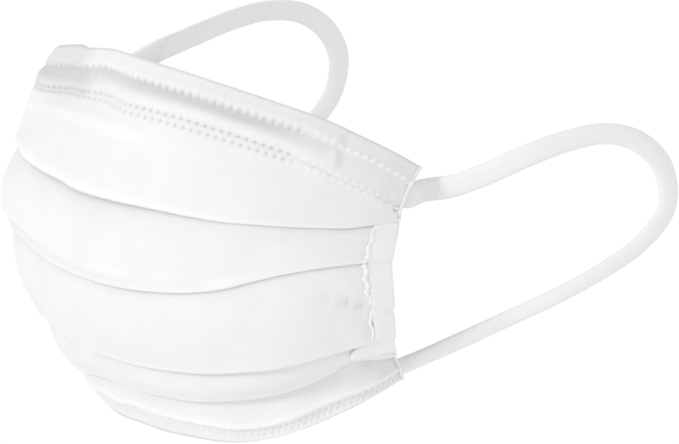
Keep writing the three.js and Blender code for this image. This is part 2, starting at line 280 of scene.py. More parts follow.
# Where each line of the cloth lies, down the rows, from the far side edge across to the near one.
# top: the edge; weld1, weld2: lines of weld dots; crest1, crest2: outward creases; fold1 to fold4: the
# pleats' lower folds; buckle: a short fold beside the near edge; hem: where the bottom hem starts.
lines = tableOf(
    "across top weld1 weld2 crest1 fold1 crest2 fold2 buckle fold3 fold4 hem",
    (-1, 0, 4, 13.2, 24, 27, 46, 46.3, 59, 68.5, 80, 85.7),
    (-0.6, 2, 4.8, 12.8, 20, 29.2, 45.6, 47.2, 54, 68.2, 79, 86),
    (-0.4, 2.2, 4.9, 12.6, 19, 28.9, 45.3, 48.6, 54, 67.7, 79.1, 85),
    (-0.22, 0.3, 4.1, 12.4, 18.2, 28.5, 45, 50, 54, 67.4, 79.2, 84.2),
    (-0.1, 0, 3.8, 12.3, 17.8, 29.3, 45.8, 50.8, 54, 67.8, 79.1, 84),
    (0, 0.3, 3.8, 12.5, 17.8, 29.1, 45.8, 50.5, 54, 68.1, 79, 84.9),
    (0.08, 0.3, 3.9, 12.9, 17.8, 28.6, 45.3, 49.4, 54, 68.5, 79.1, 84.6),
    (0.16, 0.4, 4.4, 13.2, 17.9, 29.1, 45.1, 48.8, 54, 67.8, 79.3, 84.8),
    (0.25, 0, 4, 13.1, 17.4, 29.2, 45.3, 48.4, 54, 67.5, 79.1, 85),
    (0.36, -0.4, 3.6, 12.9, 17.3, 29.2, 45.7, 48.2, 54, 67.6, 78.8, 85.2),
    (0.46, -0.5, 3.4, 12.8, 17.2, 29.6, 45.7, 48.1, 54, 67.9, 78.2, 86),
    (0.56, -0.6, 3.4, 12.7, 17.3, 29.8, 45.7, 47.4, 54, 68.1, 78.6, 86.4),
    (0.64, -0.5, 3.5, 12.6, 18, 29.2, 45.4, 46.2, 53.5, 68.5, 79, 86.3),
    (0.72, -0.4, 3.4, 12.4, 19.1, 28.8, 45, 45.3, 53, 68.3, 79.2, 86),
    (0.8, -0.1, 3.8, 12.5, 20.6, 28.4, 44.8, 45, 53.1, 68.1, 78.2, 86),
    (0.86, 0.1, 3.8, 12.8, 22, 28.5, 45, 45.2, 54.8, 67.8, 75.6, 86.3),
    (0.93, 0.1, 3.8, 12.9, 25, 27, 45.5, 45.6, 57.6, 67.4, 79.2, 86.4),
    (1, 0, 4.2, 13.3, 25.5, 26.1, 46.2, 46.3, 59.1, 68.5, 80.6, 85.7),
)


def line(name, across):
    # how far down the cloth a line lies, at a place across it
    return valueAt(lines, "across", name, across)


# The pleats. layer: from one layer to the next, and thin: how much less of it there is at the sides;
# centreOverlap, sideOverlap: how far the cloth runs back up; puff: how far the panel below fills out,
# most at the part peak of its way down; rise: where it starts to.
folds = tableOf(
    "layer thin centreOverlap sideOverlap puff peak rise",
    (1.25, 0.75, 5, 1.2, 0.6, 0.5, 0.02),
    (0.8, 0.6, 4, 4, 0.8, 0.45, 0.02),
    (0.75, 0.1, 3.5, 5, 0.5, 0.5, 0.04),
    (0.62, 0, 2, 2, 0.3, 0.5, 0.05),
)
foldNames = ("fold1", "fold2", "fold3", "fold4")


def layerAt(k, across):
    # the layer of fold k, thinned by a smooth step from the middle to the sides
    return folds["layer"][k] * (1 - folds["thin"][k] * smoothStep(np.abs(across), 0.1, 0.6))


# The cloth's grid: columns across, and rows down the top panel, round each fold and down each other panel.
# weldMargins, hemMargins: where the close rows round the two welds and the hem's line start and end;
# foldFade: how soon a panel leaves the fold above it.
cloth = dict(thickness=0.45, columns=360, topSteps=(3, 9, 6, 10, 3, 6), weldMargins=(1.4, 1.4, 1.5, 1.7),
             creaseSteps=4, panelSteps=(12, 13, 8, 5), hemSteps=(12, 2), hemMargins=(0.8, 3.4), foldFade=1.6)

# Height of the band over the wire, by the distance past the first weld.
band = tableOf(
    "past height",
    (-5, 0.1), (-2.5, 0.5), (-0.9, 1), (-0.1, 0.85), (0.6, -0.12), (1.3, -0.15), (2.6, 0.15), (4.5, 0.6),
    (6.4, 0.75), (7.7, 0.25), (8.6, 0), (9.6, 0.3), (10.6, 0.05), (12, 0), (90, 0),
)
# flat: the band's share past the wire's ends; far: its share on the far side, up to where the nose is.
bandSet = dict(flat=0.25, far=0.45, nose=(-0.02, 0.12), wireEnd=(-0.5, 1.5))

# Weld dots, one to every four columns of the grid. tooth, lowTooth: their half widths along the two welds;
# rows: the second weld's two rows; flip: from here to there across, the dots turn round and stand out.
weld = dict(pitch=4 * 2 * form["halfRow"] / cloth["columns"], rows=(-0.75, 0.75), depth=0.8, lowShare=0.8,
            halfLength=0.5, tooth=0.55, lowTooth=0.42, flip=(0.68, 0.74), flipBy=1.6)

# The outward crease below the welds: low, its height towards the sides; more, what the middle adds.
upperCrest = dict(low=0.25, more=0.7, moreHalfWidth=0.25, fade=(0.55, 0.8), reach=6.0, sharpness=1.3)

# Short creases and puckers, each along a line from one place on the cloth to another.
creases = tableOf(
    "across along across2 along2 height halfWidth",
    (0.82, 79.6, 0.92, 82.6, 0.5, 1.6),
    (0.84, 72, 0.93, 70.5, 0.45, 1.8),
    (-0.14, 68.9, -0.03, 70.2, 0.25, 0.8),
    (0.84, 33, 0.92, 34.5, 0.35, 1.5),
    (0.8, 38.5, 0.92, 37.5, 0.3, 1.6),
    (0.85, 42, 0.92, 42.5, 0.3, 1.2),
    (0.83, 48, 0.92, 48.5, 0.3, 1.6),
    (0.86, 51.8, 0.92, 51.2, 0.3, 1.2),
    (0.84, 61, 0.92, 62, 0.3, 1.8),
    (0.86, 64.6, 0.92, 65.2, 0.25, 1.2),
    (0.02, 0.5, 0.025, 9, 0.6, 0.9),
    (0.05, 0.5, 0.045, 7, 0.6, 0.8),
    (0.085, 0.5, 0.075, 6, 0.5, 0.9),
    (0.79, 4.8, 0.805, 11, 0.7, 0.8),
)


def dimples(across, past, shift, halfWidth):
    # pressed dots along a line: a bell in both directions, one every pitch
    x = across * form["halfRow"] / weld["pitch"] + shift
    x = (x - np.round(x)) * weld["pitch"]
    return np.exp(-((x / weld["halfLength"]) ** 2) - (past / halfWidth) ** 2)


def weldDots(across, along):
    # one row of dots on the first weld, and two staggered rows on the second
    upper = dimples(across, along - line("weld1", across), 0, weld["tooth"])
    lower = 0
    for k, shift in enumerate(weld["rows"]):
        past = along - line("weld2", across) - shift
        lower = lower + dimples(across, past, 0.5 * k, weld["lowTooth"])
    return upper, lower


def dotSense(across):
    # 1 where the dots go in, and below 0 past the wire, where they stand out
    return 1 - weld["flipBy"] * smoothStep(np.abs(across), *weld["flip"])


def crease(across, along, k):
    # a ridge whose height falls off on both sides of a straight line, and fades at its ends
    c = {name: creases[name][k] for name in creases}
    step = np.array([(c["across2"] - c["across"]) * form["halfRow"], c["along2"] - c["along"]])
    x, y = (across - c["across"]) * form["halfRow"], along - c["along"]
    length = np.hypot(*step)
    t = (x * step[0] + y * step[1]) / length ** 2
    away = np.abs(x * step[1] - y * step[0]) / length
    ends = smoothStep(t, -0.15, 0.25) * (1 - smoothStep(t, 0.75, 1.15))
    return c["height"] * ends * np.exp(-((away / c["halfWidth"]) ** 1.4))


def topRelief(across, along):
    # the band over the wire, its welds, and the outward crease below them
    side = np.abs(across)
    wireEnd = [wire["halfLength"] + past for past in bandSet["wireEnd"]]
    overWire = 1 - smoothStep(side * form["halfRow"], *wireEnd)
    overNose = smoothStep(across, *bandSet["nose"])
    height = valueAt(band, "past", "height", along - line("weld1", across))
    height = height * (bandSet["flat"] + (1 - bandSet["flat"]) * overWire)
    height = height * (bandSet["far"] + (1 - bandSet["far"]) * overNose)
    upper, lower = weldDots(across, along)
    height = height - weld["depth"] * dotSense(across) * (upper + weld["lowShare"] * lower)
    middle = np.exp(-((across / upperCrest["moreHalfWidth"]) ** 2))
    strong = (upperCrest["low"] + upperCrest["more"] * middle) * (1 - smoothStep(side, *upperCrest["fade"]))
    away = np.abs(along - line("crest1", across))
    return height + strong * np.maximum(1 - away / upperCrest["reach"], 0) ** upperCrest["sharpness"]


# The short fold beside the near edge sinks by depth after a step, and comes back over fall.
buckle = dict(depth=1.4, start=(0.74, 0.9), step=0.5, fall=3.5)
# The bottom hem's line is a small ridge and a step down, with two rows of pressed dots below it.
hemLine = dict(ridge=0.4, halfWidth=0.5, sink=0.4, step=(0.3, 1.0), dots=0.45, tooth=0.4, rows=(1.5, 2.6))


def lowRelief(across, along):
    # the short fold beside the near edge, the hem's line and the pressed pattern between it and the edge
    past = along - line("buckle", across)
    sunk = smoothStep(across, *buckle["start"]) * smoothStep(past, 0, buckle["step"])
    height = -buckle["depth"] * sunk * np.exp(-np.maximum(past, 0) / buckle["fall"])
    past = along - line("hem", across)
    height = height + hemLine["ridge"] * np.exp(-((past / hemLine["halfWidth"]) ** 2))
    height = height - hemLine["sink"] * smoothStep(past, *hemLine["step"])
    for k, shift in enumerate(hemLine["rows"]):
        height = height - hemLine["dots"] * dimples(across, past - shift, 0.5 * k, hemLine["tooth"])
    return height


# Spot welds of the loops: pitches across and along, and where each corner's field starts and ends.
spotSet = dict(height=0.18, pitchAcross=1.6, pitchAlong=1.3, corners=(
    dict(side=(0.91, 0.93), start=(1.5, 2.5), end=(14, 16)),
    dict(side=(0.885, 0.9), start=(81, 82), end=(87, 88.5)),
))


def spots(across, along):
    # a grid of pressed dots where the loops are welded on: two cosines multiplied, where they are above 0
    x, y = across * form["halfRow"] / spotSet["pitchAcross"], along / spotSet["pitchAlong"]
    grid = np.cos(2 * math.pi * x) * np.cos(2 * math.pi * y)
    inCorner = 0
    for corner in spotSet["corners"]:
        down = smoothStep(along, *corner["start"]) * (1 - smoothStep(along, *corner["end"]))
        inCorner = inCorner + smoothStep(np.abs(across), *corner["side"]) * down
    return spotSet["height"] * np.maximum(grid, 0) * inCorner


# Slow waves over the whole cloth: how far each takes to turn by a radian, sideways and down, and its start.
waves = dict(height=0.07, turns=((5.1, 7.3, 0.0), (8.7, -3.9, 1.3), (3.3, 11.0, 2.1)))


def unevenness(across, along):
    # a sum of a few sines that don't repeat together
    s, total = across * form["halfRow"], 0
    for sideways, down, start in waves["turns"]:
        total = total + np.sin(s / sideways + along / down + start)
    return waves["height"] * total


def relief(across, along):
    # all that stands on the cloth apart from the pleats
    height = topRelief(across, along) + lowRelief(across, along)
    height = height + spots(across, along) + unevenness(across, along)
    for k in range(len(creases["across"])):
        height = height + crease(across, along, k)
    return height


# The outward crease above the second fold: ridge, along it; sink, how far the band between the two goes in,
# where they are apart.
lowerCrest = dict(ridge=0.4, halfWidth=1.2, sink=1.5, apart=(0.2, 2.5))
# back: the part of its way down by which a panel is back on the form; sideLoss: less filling at the sides.
panel = dict(back=0.75, sideLoss=0.6)


def panelHeight(k, across, along):
    # the panel under fold k starts two layers down, comes back to the form and fills out a little on its
    # way, as a sine of the way down, bent so that its top is at the peak
    start = line(foldNames[k], across)
    end = line(foldNames[k + 1], across) if k + 1 < len(foldNames) else lastRow + 0 * across
    t = np.clip((along - start) / (end - start), 0, 1)
    puff, peak, rise = folds["puff"][k], folds["peak"][k], folds["rise"][k]
    filled = np.sin(math.pi * t ** (math.log(0.5) / math.log(peak))) * (1 - panel["sideLoss"] * across ** 4)
    height = puff * filled - 2 * layerAt(k, across) * (1 - smoothStep(t, rise, panel["back"]))
    if k == 0:
        past = along - line("crest2", across)
        gap = line("fold2", across) - line("crest2", across)
        apart = smoothStep(gap, *lowerCrest["apart"])
        height = height - apart * lowerCrest["sink"] * np.clip(past / np.maximum(gap, 0.5), 0, 1)
        height = height + apart * lowerCrest["ridge"] * np.exp(-np.abs(past) / lowerCrest["halfWidth"])
    return height


# Painted shade on the cloth, from 0 to 1, and painted highlight below 0. pocket: painted shade in the groove
# below the first weld, over the wire; nose: painted shade on the far side of the nose; dots: painted shade
# in the weld dots, and painted highlight where they stand out; the upper crease: a painted highlight along
# its middle;
# turn: round each fold, from a painted highlight on its front to painted shade at its back; under: painted
# shade below each fold, gone over fall; lit: a painted highlight on the lower crease and hem line.
paintedShade = dict(pocket=0.75, pocketStart=(0, 0.7), pocketEnd=(1.5, 7), wireFade=20, nose=0.5,
            noseAcross=(-0.01, 0.05), noseAlong=(12, 15), dots=0.6, worn=0.3, wornHalfWidth=0.8,
            wornAcross=(0.2, 0.45), turn=(-0.25, 0.6), under=0.7, fall=0.7, sideLoss=0.6,
            lit=0.35, litHalfWidth=0.7)
# the lines on which a panel gets a painted highlight
litLines = {0: "crest2", 3: "hem"}  # by panel


def shadeOf(across, along):
    # painted shade on the top panel: in the groove over the wire, on the far side of the nose and in the
    # weld dots, less a painted highlight along the upper crease
    side = np.abs(across)
    past = along - line("weld1", across)
    wireEnd = wire["halfLength"]
    overWire = 1 - smoothStep(side * form["halfRow"], wireEnd - paintedShade["wireFade"], wireEnd)
    pocket = smoothStep(past, *paintedShade["pocketStart"]) * (1 - smoothStep(past, *paintedShade["pocketEnd"])) * overWire
    nose = (1 - smoothStep(across, *paintedShade["noseAcross"])) * (1 - smoothStep(along, *paintedShade["noseAlong"]))
    upper, lower = weldDots(across, along)
    dots = (upper + lower) * dotSense(across)
    away = (along - line("crest1", across)) / paintedShade["wornHalfWidth"]
    worn = (1 - smoothStep(across, *paintedShade["wornAcross"])) * np.exp(-(away ** 2))
    shade = paintedShade["pocket"] * pocket + paintedShade["nose"] * nose + paintedShade["dots"] * dots - paintedShade["worn"] * worn
    return np.clip(shade, -1, 1)


def shadeBelow(k, across, along, start):
    # the panel below fold k: painted shade under the fold, and a painted highlight on its crease or hem line
    shade = paintedShade["under"] * np.exp(-(along - start) / paintedShade["fall"]) * (1 - paintedShade["sideLoss"] * across ** 2)
    if k in litLines:
        away = (along - line(litLines[k], across)) / paintedShade["litHalfWidth"]
        shade = shade - paintedShade["lit"] * np.exp(-(away ** 2))
    return shade


def between(a, b, count, last=False):
    # rows evenly spaced between two lines across the cloth
    t = np.linspace(0, 1, count + last, endpoint=last)[:, None]
    return a + (b - a) * t


def turnedBack(k, across):
    # how far the cloth runs back up behind fold k: from the middle's overlap to the sides' as across squared
    middle, side = folds["centreOverlap"][k], folds["sideOverlap"][k]
    return middle + (side - middle) * across ** 2


def panelRows(k, across, start, edges):
    # the rows down the panel below fold k, closer together round the hem's line on the last one
    if k + 1 < len(edges):
        return between(start, edges[k + 1], cloth["panelSteps"][k])
    above, below = line("hem", across) - cloth["hemMargins"][0], line("hem", across) + cloth["hemMargins"][1]
    around, last = cloth["hemSteps"]
    return np.vstack([
        between(start, above, cloth["panelSteps"][k]),
        between(above, below, around),
        between(below, lastRow + 0 * across, last, last=True),
    ])


def pleatPath(across):
    # each column goes down a panel, round the lower fold, back up behind it and round again to the next one;
    # it returns the places down the rows, the heights and the shades of all its points
    top, weld1, weld2, crest = (line(name, across) for name in ("top", "weld1", "weld2", "crest1"))
    edges = [line(name, across) for name in foldNames]
    a, b, c, d = cloth["weldMargins"]
    stops = (top, weld1 - a, weld1 + b, weld2 - c, weld2 + d, crest, edges[0])
    alongs = [np.vstack([between(*span) for span in zip(stops, stops[1:], cloth["topSteps"])])]
    heights = [relief(across, alongs[0])]
    shades = [shadeOf(across, alongs[0])]
    turn = np.linspace(0, math.pi, cloth["creaseSteps"] + 1)[:, None]
    for k, edge in enumerate(edges):
        stretch = formFrame(across, edge)[3]
        radius = layerAt(k, across) / 2
        above = heights[-1][-1]
        alongs.append(edge + radius * np.sin(turn) / stretch)
        heights.append(above - radius + radius * np.cos(turn))
        # round the fold: a painted highlight on its front turning to painted shade at its back
        shades.append(np.linspace(*paintedShade["turn"], len(turn))[:, None] + 0 * alongs[-1])
        alongs.append(edge - (turnedBack(k, across) + radius * np.sin(turn)) / stretch)
        heights.append(above - 3 * radius + radius * np.cos(turn))
        # the layer turned back up behind the fold is painted in full shade
        shades.append(1 + 0 * alongs[-1])
        start = edge + radius / stretch
        below = panelRows(k, across, start, edges)
        fade = np.exp(-(below - start) / cloth["foldFade"])
        height = panelHeight(k, across, below) + relief(across, below)
        alongs.append(below)
        heights.append(height * (1 - fade) + (above - 4 * radius) * fade)
        shades.append(shadeBelow(k, across, below, start))
    return np.vstack(alongs), np.vstack(heights), np.vstack(shades)


def wallOf(across, alongs, heights, thickness):
    # the middle surface and its normals by differences, then one face on each side of it
    middle = place(across, alongs, heights)
    normal = unit(np.cross(np.gradient(middle, axis=0), np.gradient(middle, axis=1)))
    return middle + normal * thickness / 2, middle - normal * thickness / 2


def closedWall(name, outer, inner, uv, shade=None):
    # both faces of a wall, joined round their rim
    rowCount, columnCount = outer.shape[:2]
    faces = gridFaces(rowCount, columnCount)
    count = rowCount * columnCount
    top = np.arange(columnCount)
    bottom = top + (rowCount - 1) * columnCount
    left = np.arange(rowCount) * columnCount
    right = left + columnCount - 1

    def rim(edge, flip):
        quads = np.stack([edge[:-1], edge[1:], edge[1:] + count, edge[:-1] + count], -1)
        return quads[:, ::-1] if flip else quads

    quads = np.concatenate([
        faces[:, ::-1], faces + count,
        rim(top, False), rim(bottom, True), rim(left, True), rim(right, False),
    ])
    points = np.concatenate([outer.reshape(-1, 3), inner.reshape(-1, 3)])
    if shade is None:
        shade = np.zeros(outer.shape[:2])
    cornerUv = np.concatenate([uv, uv])[quads.ravel()]
    return addMesh(name, toFrame(points), quads, cornerUv, np.stack([shade, shade]))


def closedTube(name, rings, uv):
    # rings of points joined into a tube, with a fan of triangles on each end ring; uv has a column more
    rowCount, columnCount = rings.shape[:2]
    i, j = np.arange(rowCount - 1)[:, None], np.arange(columnCount)[None, :]
    j2 = (j + 1) % columnCount
    quads = np.stack([i * columnCount + j, i * columnCount + j2, (i + 1) * columnCount + j2,
                      (i + 1) * columnCount + j], -1).reshape(-1, 4)
    quadUv = np.stack([uv[:-1, :-1], uv[:-1, 1:], uv[1:, 1:], uv[1:, :-1]], 2).reshape(-1, 2)
    count = rowCount * columnCount
    ring, last = np.arange(columnCount), (rowCount - 1) * columnCount
    after = (ring + 1) % columnCount
    fans = [np.stack([after, ring, ring * 0 + count], -1),
            np.stack([ring + last, after + last, ring * 0 + count + 1], -1)]
    points = np.vstack([rings.reshape(-1, 3), rings[0].mean(0)[None], rings[-1].mean(0)[None]])
    fanUv = [np.repeat(uv[end, :1], 3 * columnCount, 0) for end in (0, -1)]
    return addMesh(name, toFrame(points), [quads, *fans], np.vstack([quadUv, *fanUv]))


def mapOf(across, alongs):
    # places on the cloth in metres, sideways from its middle and down from its top edge
    return np.stack([across * form["halfRow"] + 0 * alongs, alongs + 0 * across], -1).reshape(-1, 2) * mm


def clothPiece():
    # the whole folded path of the cloth as one closed wall
    across = np.linspace(-1, 1, cloth["columns"] + 1)
    alongs, heights, shades = pleatPath(across)
    outer, inner = wallOf(across, alongs, heights, cloth["thickness"])
    wall = closedWall("pleated_cloth", outer, inner, mapOf(across, alongs), shades)
    return declare(wall, "cloth", "mask_body")


pleatedCloth = clothPiece()
print("pleated cloth:", len(pleatedCloth.data.polygons) * 2, "triangles")

# Hems: the cloth turned to the inside along the top, over the wire, and along the bottom.
# reach: half their width; behind: how far under the form they lie; overWire, lower: what the top one adds
# over the wire and below the edge; inset: how far inside the edge they end.
hemSet = dict(thickness=0.35, reach=81.0, columns=240, steps=30, inset=0.15, topEnd=14.6, behind=0.62,
              overWire=1.15, lower=0.25, bottomStart=84.5, bottomBehind=1.15)


def hemAcross():
    # columns from one end of a hem to the other
    return np.linspace(-1, 1, hemSet["columns"] + 1) * hemSet["reach"] / form["halfRow"]


def topHem():
    # flat behind the band, and standing off it over the wire
    across = hemAcross()
    start, end = line("top", across) + hemSet["inset"], hemSet["topEnd"] + 0 * across
    along = between(start, end, hemSet["steps"], last=True)
    pocket = 1 - smoothStep(np.abs(along - wire["along"]), 2.4, 4.2)
    height = -hemSet["behind"] - hemSet["overWire"] * pocket - hemSet["lower"] * smoothStep(along, 1, 4)
    outer, inner = wallOf(across, along, height, hemSet["thickness"])
    wall = closedWall("turned_top_hem", outer, inner, mapOf(across, along))
    return declare(wall, "cloth", "top_hem")


def bottomHem():
    # behind the foot of the last panel, at whose height it lies
    across = hemAcross()
    start, end = hemSet["bottomStart"] + 0 * across, lastRow - hemSet["inset"] + 0 * across
    along = between(start, end, hemSet["steps"] // 2, last=True)
    height = panelHeight(3, across, along) - hemSet["bottomBehind"]
    outer, inner = wallOf(across, along, height, hemSet["thickness"])
    wall = closedWall("turned_bottom_hem", outer, inner, mapOf(across, along))
    return declare(wall, "cloth", "bottom_hem")


hems = [topHem(), bottomHem()]
print("hems turned")

# Side edges: a thin strip wrapped round the pleats' ends. It reaches in to the upright weld between
# the first and third folds, a little further under the third, and no more than turns the edge elsewhere.
# lift: how far it stands off the cloth; press: how deep its inner edge is pressed in; over: past the rim.
stripSet = dict(thickness=0.3, lift=0.22, stations=260, frontSteps=14, turnSteps=9, press=0.3, over=0.5,
                backReach=6.1)
stripReach = tableOf(
    "along reach inner",
    (0, 0.3, -2.2), (14, 0.3, -2.2), (25.5, 0.3, -3.6), (26.8, 3.5, -3.6), (28.2, 6.1, -3.6),
    (40, 6.1, -3.6), (58, 6.1, -3.6), (67.2, 6.1, -3.6), (69.5, 11, -3.6), (72, 12.5, -3.6),
    (74, 9, -3.6), (75.6, 3.5, -3.6), (77, 0.8, -3.4), (78.5, 0.3, -3), (83, 0.3, -2.2), (90, 0.3, -2.2),
)


def envelope(across, along):
    # height of the outermost layer of the pleats, softened over a millimetre
    total = 0
    for shift in (-0.6, -0.2, 0.2, 0.6):
        q = np.clip(along + shift, 0, lastRow)
        height = 0
        for k, name in enumerate(foldNames):
            height = np.where(q > line(name, across), panelHeight(k, across, q), height)
        total = total + (height + relief(across, q)) / 4
    return total


def edgeStrip(name, node, side):
    # in section it goes out along the pleats' outermost layer, half an ellipse round the rim, and back in
    # along its own straight back; the wall is half to each side of that line
    along = np.linspace(0, lastRow, stripSet["stations"])[:, None]
    reach = valueAt(stripReach, "along", "reach", along)
    t = np.linspace(0, 1, stripSet["frontSteps"])[None, :]
    rim = np.full_like(along, side)
    lift = cloth["thickness"] / 2 + stripSet["lift"]
    out = envelope(rim, along) + lift
    frontX = -reach * (1 - t)
    onCloth = envelope(side * (1 + frontX / form["halfRow"]), along + 0 * t)
    frontH = onCloth * (1 - t) + envelope(rim, along) * t
    frontH = frontH + lift - stripSet["press"] * (1 - smoothStep(t, 0, 0.12))
    turn = np.linspace(0, math.pi, stripSet["turnSteps"])[None, 1:-1]
    back = valueAt(stripReach, "along", "inner", along)
    turnX = stripSet["over"] * np.sin(turn) + 0 * along
    turnH = (out + back) / 2 + (out - back) / 2 * np.cos(turn)
    backX, backH = -stripSet["backReach"] * t + 0 * along, back + 0 * t
    beyond = np.hstack([frontX, turnX, backX])
    height = np.hstack([frontH, turnH, backH])
    across = side * (1 + beyond / form["halfRow"])
    surface = place(across, along, height)
    normal = unit(np.cross(np.gradient(surface, axis=0), np.gradient(surface, axis=1))) * side
    half = stripSet["thickness"] / 2
    outer, inner, uv = surface + normal * half, surface - normal * half, mapOf(across, along)
    if side < 0:
        outer, inner = outer[:, ::-1], inner[:, ::-1]
        uv = uv.reshape(*beyond.shape, 2)[:, ::-1].reshape(-1, 2)
    return declare(closedWall(name, outer, inner, uv), "binding", node)


strips = [
    edgeStrip("left_edge_strip", "side_binding_left", 1),
    edgeStrip("right_edge_strip", "side_binding_right", -1),
]
print("side strips wrapped")

# The upright weld along the inner edge of each strip: a puckered, lumpy seam.
# lump, wobble: its thick and thin places and its sway; base, wide, tall: how it sits on the cloth.
seamPath = tableOf(
    "along across radius",
    (29.2, 0.93, 0.05), (31, 0.932, 0.45), (38, 0.934, 0.5), (42, 0.93, 0.55), (48, 0.927, 0.6),
    (54, 0.928, 0.5), (56.8, 0.931, 0.25), (59, 0.932, 0.2), (61, 0.932, 0.35), (66, 0.931, 0.3),
    (68.2, 0.932, 0.05),
)
seamSet = dict(step=0.2, sides=14, lump=1.5, thin=0.7, lumpHeight=0.45, wobble=0.3, wobblePitch=4.6,
               base=0.1, wide=1.15, tall=0.8, mapWidth=3.0)


def seam(name, side):
    # rings round a path down the edge strip: the radius grows and shrinks as a sine without its sign, and
    # the middle sways as a sine, both of them with a phase that wanders
    along = np.arange(seamPath["along"][0], seamPath["along"][-1], seamSet["step"])[:, None]
    radius = valueAt(seamPath, "along", "radius", along)
    lump = np.abs(np.sin(math.pi * along / seamSet["lump"] + np.sin(along / 3.1)))
    radius = radius * (seamSet["thin"] + seamSet["lumpHeight"] * lump ** 0.7)
    angle = np.linspace(0, 2 * math.pi, seamSet["sides"], endpoint=False)[None, :] + 0.2
    sway = seamSet["wobble"] * np.sin(2 * math.pi * along / seamSet["wobblePitch"] + 2 * np.sin(along / 4.3))
    sway = sway * np.minimum(radius / seamSet["wobble"], 1)
    centre = valueAt(seamPath, "along", "across", along)
    base = envelope(side * centre, along) + cloth["thickness"] / 2 + seamSet["base"]
    across = side * (centre + (sway + seamSet["wide"] * radius * np.cos(angle)) / form["halfRow"])
    rings = place(across, along, base + seamSet["tall"] * radius * np.sin(angle))
    if side < 0:
        rings = rings[:, ::-1]
    columnCount = seamSet["sides"] + 1
    girth = np.linspace(0, seamSet["mapWidth"], columnCount)
    uv = np.stack([along + np.zeros((1, columnCount)), girth + 0 * along], -1) * mm
    return declare(closedTube(name, rings, uv), "binding")


seams = [seam("left_upright_weld", 1), seam("right_upright_weld", -1)]
print("upright welds pressed")

# Ear loops: a flat knitted band from the top weld round the ear to the bottom weld.
# Welded ends: inward from the side edge, along down the rows, depth behind the form.
# Free routes: out from the middle of the face, back and up in Y and Z, and the band's width.
topTabs = {
    1: tableOf("inward along depth", (9, 6.5, 3.3), (4.5, 6.5, 3.3), (-3, 6.5, 3.6)),
    -1: tableOf("inward along depth", (21, 9.5, 3.3), (18.5, 4, 3.3), (15.5, -1.5, 3.6)),
}
bottomTab = tableOf("inward along depth", (-3, 88.3, 3.6), (4.5, 86.8, 3.3), (9, 86, 3.3))
leftRoute = tableOf(
    "out back up width",
    (50.5, 8, 14.7, 5.3), (54, 13.5, 15.8, 5.3), (58.5, 19.2, 18.6, 5.4), (63, 26.9, 22.7, 5.4),
    (65, 36.4, 25.5, 5), (66, 45.8, 26.3, 4.7), (66.5, 54, 23.5, 4.8), (66.5, 60, 17.1, 5),
    (66.3, 61.1, 8.2, 4.7), (65.5, 55, 0.6, 4.2), (64, 45.5, -5.1, 3.9), (61.5, 35.8, -9.9, 3.8),
    (57.5, 26.6, -14.4, 3.8), (53, 14.5, -19.9, 3.9),
)
rightRoute = tableOf(
    "out back up width",
    (47.5, -2.9, 29.7, 5.2), (50.5, 2.3, 30, 5.1), (56, 12.5, 30.7, 5), (61, 23.8, 31.7, 4.8),
    (64.5, 34.6, 32, 4.7), (66, 44.5, 30.2, 4.8), (66.5, 51.3, 25.5, 5), (66.5, 54.5, 19, 5.1),
    (66.3, 53.1, 11.1, 4.8), (65.5, 47, 4, 4.4), (63.5, 38, -3, 4), (59.5, 27.5, -10, 3.8),
    (52.5, 14.8, -18.8, 3.9),
)
# stitch: one stitch along the band; wales: the ridges round it; ridge: their height as a share of its size.
strap = dict(thickness=1.8, step=0.4, sides=40, stitch=1.1, wales=14, ridge=0.02,
             flatness=0.8, roundness=0.9, mapWidth=12.0, fineSteps=4000)


def splineThrough(points, t):
    # a centripetal curve through the points: each span is blended from its four neighbours
    points = np.vstack([2 * points[:1] - points[1:2], points, 2 * points[-1:] - points[-2:-1]])
    knots = np.concatenate([[0], np.cumsum(np.linalg.norm(np.diff(points[:, :3], axis=0), axis=1) ** 0.5)])
    spans = len(points) - 3
    at = np.clip(t * spans, 0, spans - 1e-9)
    i = at.astype(int)
    k = [knots[i + j][:, None] for j in range(4)]
    x = k[1] + (at - i)[:, None] * (k[2] - k[1])

    def mix(a, b, low, high):
        return (a * (high - x) + b * (x - low)) / (high - low)

    a = [mix(points[i + j], points[i + j + 1], k[j], k[j + 1]) for j in range(3)]
    b = [mix(a[j], a[j + 1], k[j], k[j + 2]) for j in range(2)]
    return mix(b[0], b[1], k[1], k[2])


